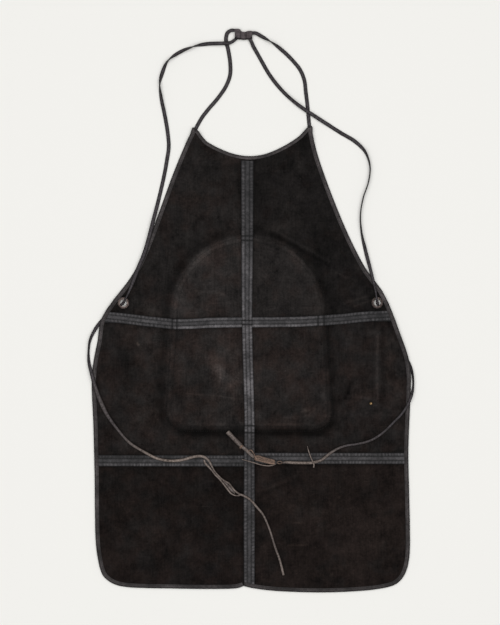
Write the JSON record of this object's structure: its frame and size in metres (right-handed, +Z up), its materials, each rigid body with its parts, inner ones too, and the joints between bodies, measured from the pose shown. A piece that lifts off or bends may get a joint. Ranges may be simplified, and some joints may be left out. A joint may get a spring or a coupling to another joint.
{
  "type": "leather work apron",
  "caption": "Bib apron pieced from dark suede panels with leather bands over the seams, bound edges, eyelets, a neck loop and long waist ties, lying flat.",
  "frame": {"origin": "on the floor, under the middle of the apron's own box, the straps and ties left out", "axes": "+X towards the side with the pocket, +Y from the hem to the neck, +Z up, out of the suede side"},
  "size_m": [0.6591, 1.1268, 0.0124],
  "materials": {
    "suede": "matt napped suede, rubbed in places",
    "band_leather": "smooth, scuffed, soft sheen",
    "binding_leather": "thin, smooth, soft sheen",
    "lining_leather": "matt",
    "aged_brass": "copper-toned, dulled",
    "thong_leather": "creased, worn along the edges",
    "tie_leather": "worn through to brown"
  },
  "bodies": {
    "root": {"panel_bib_left": "suede", "panel_bib_right": "suede", "panel_waist_left": "suede", "panel_waist_right": "suede", "panel_hem_left": "suede", "panel_hem_right": "suede", "band_waist_left": "band_leather", "band_waist_right": "band_leather", "band_hip_left": "band_leather", "band_hip_right": "band_leather", "band_centre": "band_leather", "binding_neck": "binding_leather", "binding_left": "binding_leather", "binding_right": "binding_leather", "back_patch": "lining_leather", "side_pocket": "lining_leather", "eyelet_left": "aged_brass", "eyelet_right": "aged_brass", "pocket_rivet": "aged_brass", "neck_loop": "thong_leather", "shoulder_thong": "thong_leather", "keeper": "thong_leather", "left_tie": "tie_leather", "right_tie": "tie_leather", "tie_splice": "tie_leather", "tie_end": "tie_leather", "knot_lace": "tie_leather", "side_lace": "tie_leather", "tie_knot": "tie_leather"}
  },
  "joints": []
}
